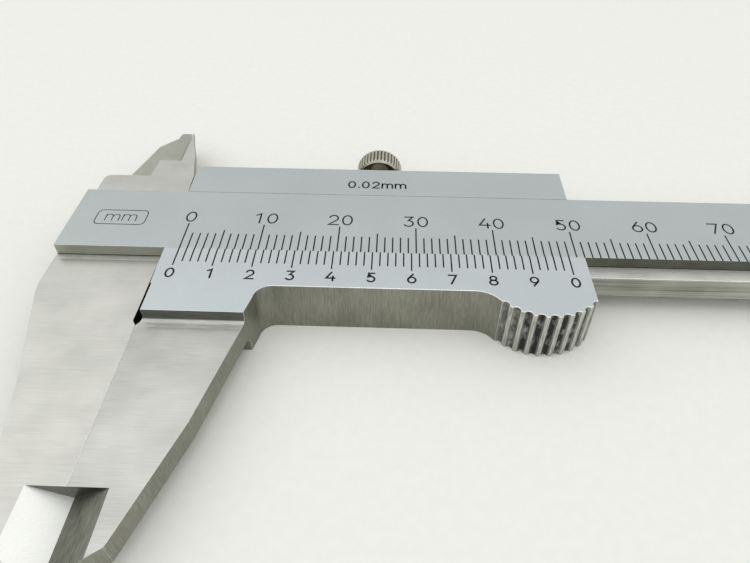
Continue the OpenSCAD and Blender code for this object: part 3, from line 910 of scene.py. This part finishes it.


# %% [markdown]
# The valleys between the knurl's ridges are painted dark brown: painted shade, and the crests keep
# the nickel's colour. The mask counts the ridges round the axis by the same rule that shaped them,
# so it always falls in the valleys, and it fades at the chamfers.

# %% The knurl's finish
def knurl_plate():
    """Nickel over the ridges, dark brown between them as painted shade, plain nickel at the outer
    rims.
    """
    material, tree = empty_material("nickel_plated_knurl_painted_shade")
    place = add(tree, "ShaderNodeTexCoord")
    from_axis = add(tree, "ShaderNodeVectorMath",
                    {0: place.outputs["Object"], 1: (SCREW_X, HEAD_Y + KNURL_L / 2, SCREW_Z)},
                    operation="SUBTRACT")
    parts = add(tree, "ShaderNodeSeparateXYZ", {"Vector": from_axis.outputs["Vector"]})
    angle = add(tree, "ShaderNodeMath", {0: parts.outputs["Z"], 1: parts.outputs["X"]},
                operation="ARCTAN2")
    ridges = add(tree, "ShaderNodeMath", {0: angle.outputs["Value"], 1: RIDGES / 2},
                 operation="MULTIPLY")
    wave = add(tree, "ShaderNodeMath", {0: ridges.outputs["Value"]}, operation="SINE")
    height = add(tree, "ShaderNodeMath", {0: wave.outputs["Value"]}, operation="ABSOLUTE")
    valley = add(tree, "ShaderNodeMapRange", {"Value": height.outputs["Value"], "From Min": 0.3,
                                              "From Max": 0.8, "To Min": 1.0, "To Max": 0.0})
    along = add(tree, "ShaderNodeMath", {0: parts.outputs["Y"]}, operation="ABSOLUTE")
    between = add(tree, "ShaderNodeMapRange", {"Value": along.outputs["Value"],
                                               "From Min": KNURL_L / 2 - CHAMFER,
                                               "From Max": KNURL_L / 2 - CHAMFER / 3,
                                               "To Min": 1.0, "To Max": 0.0})
    patches = add(tree, "ShaderNodeTexNoise", {"Vector": place.outputs["Object"],
                                               "Scale": 1 / (0.8 * MM), "Detail": 3.0})
    spread = add(tree, "ShaderNodeMapRange", {"Value": patches.outputs["Fac"], "From Min": 0.3,
                                              "From Max": 0.5, "To Min": 0.7, "To Max": 1.0})
    shade_mask = add(tree, "ShaderNodeMath", {0: valley.outputs["Result"], 1: between.outputs["Result"]},
               operation="MULTIPLY")
    painted_groove_shade = add(tree, "ShaderNodeMath", {0: shade_mask.outputs["Value"], 1: spread.outputs["Result"]},
               operation="MULTIPLY")
    # The dark brown mixed into the valleys is painted shade.
    colour = add(tree, "ShaderNodeMix", {"Factor": painted_groove_shade.outputs["Value"], "A": linear("b4b2a1"),
                                         "B": linear("565346")}, data_type="RGBA")
    rough = add(tree, "ShaderNodeMapRange", {"Value": painted_groove_shade.outputs["Value"], "To Min": 0.13,
                                             "To Max": 0.5})
    shader = add(tree, "ShaderNodeBsdfPrincipled", {"Base Color": colour.outputs["Result"],
                                                    "Metallic": 1.0,
                                                    "Roughness": rough.outputs["Result"]})
    add(tree, "ShaderNodeOutputMaterial", {"Surface": shader.outputs["BSDF"]})
    return material


# %% Head and thread
bar_tree = ridged_bar_tree()
knurl = grown(bar_tree, "knurled_head", Radius=HEAD_R, Length=KNURL_L, Ridge_depth=RIDGE_H,
              Ridges_round=RIDGES, Turns_per_metre=0.0, Chamfer=CHAMFER, Sides=8 * RIDGES, Rings=40,
              Finish=knurl_plate())
lay_along_beam_width(knurl, HEAD_Y + KNURL_L / 2)
thread_l = THREAD_TOP - screw_lo.y
thread = grown(bar_tree, "screw_thread", Radius=THREAD_R, Length=thread_l, Ridge_depth=THREAD_H,
               Ridges_round=1, Turns_per_metre=1 / THREAD_PITCH, Chamfer=0.25 * MM, Sides=48,
               Rings=round(thread_l / THREAD_PITCH * 8), Finish=turned_steel)
lay_along_beam_width(thread, screw_lo.y + thread_l / 2)

# %% [markdown]
# The lathe leaves a plain face at each end of the knurl. The inner one is flat, round the neck,
# and is painted nearly black: painted shade. The outer one is slightly domed and stands a little past
# the ridges.
# Spinning an outline round the axis makes such turned shapes.

# %% The turned neck and the outer end
def turned(name, outline, finish, steps=96):
    """Spins an outline of (radius, y) points, in metres, round the lock screw's axis."""
    work = bmesh.new()
    first = [work.verts.new((SCREW_X + r, y, SCREW_Z)) for r, y in outline]
    edges = [work.edges.new(pair) for pair in zip(first, first[1:])]
    bmesh.ops.spin(work, geom=first + edges, cent=(SCREW_X, 0, SCREW_Z), axis=(0, 1, 0),
                   angle=2 * math.pi, steps=steps, use_merge=True)
    bmesh.ops.remove_doubles(work, verts=work.verts, dist=0.001 * MM)
    bmesh.ops.recalc_face_normals(work, faces=work.faces)
    mesh = bpy.data.meshes.new(name)
    work.to_mesh(mesh)
    work.free()
    mesh.materials.append(finish)
    for face in mesh.polygons:
        face.use_smooth = True
    mesh.set_sharp_from_angle(angle=math.radians(30))
    piece = new_piece(name, mesh)
    return piece


# %% Neck and outer end
neck_r = THREAD_R - 0.2 * MM
neck = turned("turned_neck", [(0, THREAD_TOP - 0.3 * MM), (neck_r, THREAD_TOP - 0.3 * MM),
                              (neck_r, HEAD_Y - 0.12 * MM), (neck_r + 0.12 * MM, HEAD_Y),
                              (neck_r + 0.12 * MM, HEAD_Y + 0.1 * MM), (0, HEAD_Y + 0.1 * MM)],
              painted_shade_steel)
cap_r = HEAD_R - 0.75 * MM
cap_root = screw_hi.y - END_RISE - 0.1 * MM
cap = turned("turned_end", [(0, cap_root), (cap_r, cap_root), (cap_r, screw_hi.y - 0.1 * MM),
                            (cap_r - 0.15 * MM, screw_hi.y - 0.04 * MM), (0, screw_hi.y)],
             nickel_plate)
print("neck:", round(2 * neck_r / MM, 2), "mm thick; outer end:", round(2 * cap_r / MM, 2), "mm wide")


# %% Join the lock screw
def joined(name, pieces):
    """Joins pieces into the first one, under a new name."""
    with bpy.context.temp_override(active_object=pieces[0], object=pieces[0],
                                   selected_editable_objects=pieces, selected_objects=pieces):
        bpy.ops.object.join()
    pieces[0].name = name
    return pieces[0]


# The knurl's inner end face is painted nearly black as well: painted shade.
knurl.data.materials.append(painted_shade_steel)
for face in knurl.data.polygons:
    if face.normal.y < -FACING and face.area > END_FACE_AREA:
        face.material_index = 1
knob = joined("knurled_lock_screw", [knurl, thread, neck, cap])
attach(knob, "lock_screw")
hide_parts("lock_screw")
print("lock screw:", len(knob.data.polygons), "faces")

# %% [markdown]
# ## The pieces that keep their CAD shape
#
# The gib, the screws, the rivets, the depth rod and the stop are plain turned and sheared pieces.
# Their CAD meshes are right, so they stay, with a finish each and a fine bevel where it shows.

# %% Finishes for the carried-over pieces
SHARP_TURN = math.radians(40)


def finish_node(node, finish, edge_mm):
    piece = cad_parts[node]
    piece.data.materials.clear()
    piece.data.materials.append(finish)
    weld = piece.modifiers.new("weld", "WELD")
    weld.merge_threshold = SAME_PLACE
    bevel = piece.modifiers.new("broken edges", "BEVEL")
    bevel.width = edge_mm * MM
    bevel.segments = 2
    bevel.limit_method = "ANGLE"
    bevel.angle_limit = SHARP_TURN
    smooth = piece.modifiers.new("even shading", "WEIGHTED_NORMAL")
    smooth.keep_sharp = True


CARRIED = {"depth_rod": (drawn_steel, 0.06), "end_stop": (rolled_strip, 0.08),
           "end_stop_screws": (turned_steel, 0.03), "gib": (rolled_strip, 0.04),
           "gib_screws": (turned_steel, 0.04), "rod_rivets": (turned_steel, 0.04),
           "lock_pad": (turned_brass, 0.05)}
for carried_node, (its_finish, its_edge_mm) in CARRIED.items():
    finish_node(carried_node, its_finish, its_edge_mm)
print("carried over:", ", ".join(CARRIED))

# %% [markdown]
# ## Floor, light and camera
#
# Metal shows what is round it, so the light matters as much as the finish. A pale floor, a pale
# sky and three large soft lamps give the scale faces one calm tone. The window stands to the left,
# so shadows fall to the right, and a lower reading lamp in front lights the near walls.

# %% Floor
def paper_white():
    """White paper: its fibres vary the tone a little, and it has no gloss."""
    material, tree = empty_material("white_paper_table")
    place = add(tree, "ShaderNodeTexCoord")
    fibre = add(tree, "ShaderNodeTexNoise", {"Vector": place.outputs["Object"],
                                             "Scale": 1 / (1.2 * MM), "Detail": 3.0})
    colour = add(tree, "ShaderNodeValToRGB", {"Fac": fibre.outputs["Fac"]})
    ramp_stops(colour, [(DARK_STOP, linear("e4e5df")), (LIGHT_STOP, linear("e7e8e2"))])
    shader = add(tree, "ShaderNodeBsdfPrincipled", {"Base Color": colour.outputs["Color"],
                                                    "Roughness": 0.9})
    add(tree, "ShaderNodeOutputMaterial", {"Surface": shader.outputs["BSDF"]})
    return material


FLOOR_HALF = 3.0
floor_mesh = bpy.data.meshes.new("floor")
floor_mesh.from_pydata([(-FLOOR_HALF, -FLOOR_HALF, 0), (FLOOR_HALF, -FLOOR_HALF, 0),
                        (FLOOR_HALF, FLOOR_HALF, 0), (-FLOOR_HALF, FLOOR_HALF, 0)], [],
                       [(0, 1, 2, 3)])
floor_mesh.materials.append(paper_white())
floor = new_piece("floor", floor_mesh)
floor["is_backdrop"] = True
print("floor:", 2 * FLOOR_HALF, "m wide")


# %% Sky
# The sky is bright above and darker near the horizon, as a room is below a large window. It is
# what gives the small walls and the knurl their dark sides.
SKY_TOP = (0.2, 0.15, 0.97)  # the brightest way to look
world = bpy.data.worlds.new("studio")
bpy.context.scene.world = world
world.use_nodes = True
sky_tree = world.node_tree
sky_tree.nodes.clear()
looking = add(sky_tree, "ShaderNodeTexCoord")
lightwards = add(sky_tree, "ShaderNodeVectorMath", {0: looking.outputs["Generated"],
                                                    1: SKY_TOP},
                 operation="DOT_PRODUCT")
sky_colour = add(sky_tree, "ShaderNodeValToRGB", {"Fac": lightwards.outputs["Value"]})
ramp_stops(sky_colour, [(0.0, linear("8a8d8c")), (0.3, linear("eceeed")), (0.7, linear("ffffff"))])
pale = add(sky_tree, "ShaderNodeLightPath")
seen = add(sky_tree, "ShaderNodeMix", {"Factor": pale.outputs["Is Camera Ray"],
                                       "A": sky_colour.outputs["Color"], "B": linear("eceeea")},
           data_type="RGBA")
SKY_STRENGTH = 0.95
sky = add(sky_tree, "ShaderNodeBackground", {"Color": seen.outputs["Result"],
                                             "Strength": SKY_STRENGTH})
add(sky_tree, "ShaderNodeOutputWorld", {"Surface": sky.outputs["Background"]})
print("sky strength:", SKY_STRENGTH)


# %% Lamps
def soft_lamp(name, place, target, size, power, colour):
    data = bpy.data.lights.new(name, "AREA")
    data.shape = "RECTANGLE"
    data.size, data.size_y = size
    data.energy = power
    data.color = linear(colour)[:3]
    lamp = new_piece(name, data)
    lamp.location = place
    lamp.rotation_euler = (Vector(target) - Vector(place)).to_track_quat("-Z", "Y").to_euler()
    print(name, power, "W")


middle = Vector((0.03, 0.0, 0.0))
soft_lamp("window", (-0.6, 0.15, 0.75), middle, (1.1, 1.1), 1.6, "fffdf8")
soft_lamp("ceiling", (0.2, -0.1, 1.0), middle, (0.8, 0.8), 1.0, "fbfdff")
soft_lamp("reading_lamp", (0.1, -0.7, 0.55), middle, (0.8, 0.5), 0.8, "fffefa")

# %% [markdown]
# The camera stands close to the tool and looks down at the jaws with a fairly wide lens, as
# someone does who reads the scale.

# %% Camera
CAMERA_AT = (0.026898, -0.058788, 0.058498)
CAMERA_TURN = (46.102, -0.0445, 2.0733)  # degrees about X, Y and Z
lens = bpy.data.cameras.new("camera")
lens.lens = 29.81
lens.sensor_width = 36.0
lens.clip_start = 0.002
lens.clip_end = 20.0
camera = new_piece("camera", lens)
camera.location = CAMERA_AT
camera.rotation_euler = Euler([math.radians(a) for a in CAMERA_TURN])
bpy.context.scene.camera = camera
print("camera", round(CAMERA_AT[2] / MM), "mm above the table")
bpy.context.scene.view_settings.view_transform = "Standard"

# %% Measure and finish
looks_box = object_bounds()
proud = [round((looks - cad) / MM, 3) for cad, looks in zip(cad_box[1], looks_box[1])]
print("the visual model stands past the CAD box by", proud, "mm")
